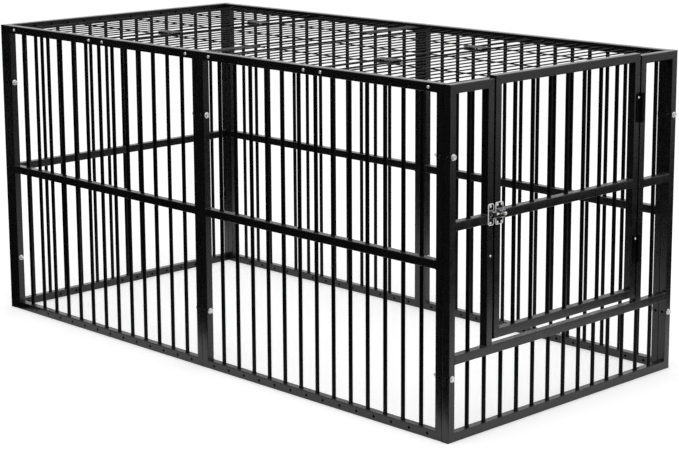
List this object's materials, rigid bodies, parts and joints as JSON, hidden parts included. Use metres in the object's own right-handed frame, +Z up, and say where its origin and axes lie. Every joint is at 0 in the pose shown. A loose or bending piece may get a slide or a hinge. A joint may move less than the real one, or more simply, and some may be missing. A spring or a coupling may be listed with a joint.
{
  "type": "dog playpen",
  "caption": "Rectangular dog playpen of black square-tube panels filled with round bars, with a flat wire roof, a hinged barred door in one end and a slide latch.",
  "frame": {"origin": "on the floor, in the middle of the overall length and depth", "axes": "+X along the long side toward the door, +Y from the front side to the back side, +Z up"},
  "size_m": [2.081, 1.0076, 0.987],
  "materials": {
    "powder_black": "satin black powder coat",
    "black_steel": "black oxide, satin",
    "zinc": "bright zinc plate",
    "chrome": "bright chrome plate",
    "grey_plate": "dull grey zinc plate"
  },
  "bodies": {
    "pen": {"door_panel_back_bay": "powder_black", "door_panel_front_bay": "powder_black", "door_panel_lower": "powder_black", "hinge_lower_jamb_leaf": "black_steel", "hinge_lower_pin": "black_steel", "hinge_upper_jamb_leaf": "black_steel", "hinge_upper_pin": "black_steel", "latch_keeper": "chrome", "panel_back_a": "powder_black", "panel_back_b": "powder_black", "panel_bolt_door_back_high": "zinc", "panel_bolt_door_back_low": "zinc", "panel_bolt_door_front_high": "zinc", "panel_bolt_door_front_low": "zinc", "panel_bolt_left_back_high": "zinc", "panel_bolt_left_back_low": "zinc", "panel_bolt_left_front_high": "zinc", "panel_bolt_left_front_low": "zinc", "panel_bolt_middle_back_high": "zinc", "panel_bolt_middle_back_low": "zinc", "panel_bolt_middle_front_high": "zinc", "panel_bolt_middle_front_low": "zinc", "panel_front_a": "powder_black", "panel_front_b": "powder_black", "panel_left_end": "powder_black", "panel_nut_door_back_high": "zinc", "panel_nut_door_back_low": "zinc", "panel_nut_door_front_high": "zinc", "panel_nut_door_front_low": "zinc", "panel_nut_left_back_high": "zinc", "panel_nut_left_back_low": "zinc", "panel_nut_left_front_high": "zinc", "panel_nut_left_front_low": "zinc", "panel_nut_middle_back_high": "zinc", "panel_nut_middle_back_low": "zinc", "panel_nut_middle_front_high": "zinc", "panel_nut_middle_front_low": "zinc", "roof_clamp_back_a_lower": "grey_plate", "roof_clamp_back_a_upper": "grey_plate", "roof_clamp_back_b_lower": "grey_plate", "roof_clamp_back_b_upper": "grey_plate", "roof_clamp_front_a_lower": "grey_plate", "roof_clamp_front_a_upper": "grey_plate", "roof_clamp_front_b_lower": "grey_plate", "roof_clamp_front_b_upper": "grey_plate", "roof_gusset_back": "powder_black", "roof_gusset_front": "powder_black", "roof_piece_1": "powder_black", "roof_piece_2": "powder_black", "roof_piece_3": "powder_black", "roof_piece_4": "powder_black"},
    "door": {"door_leaf": "powder_black", "hinge_lower_door_leaf": "black_steel", "hinge_upper_door_leaf": "black_steel", "latch_base": "chrome"},
    "latch_bolt": {"latch_bolt": "black_steel"}
  },
  "joints": [
    {"name": "door_swing", "type": "hinge", "parent": "pen", "child": "door", "pos_m": [1.02249, 0.3215, 0], "axis": [0, 0, 1], "range_deg": [0, 165]},
    {"name": "latch_slide", "type": "slide", "parent": "door", "child": "latch_bolt", "axis": [0, -1, 0], "range_m": [0, 0.012]}
  ]
}
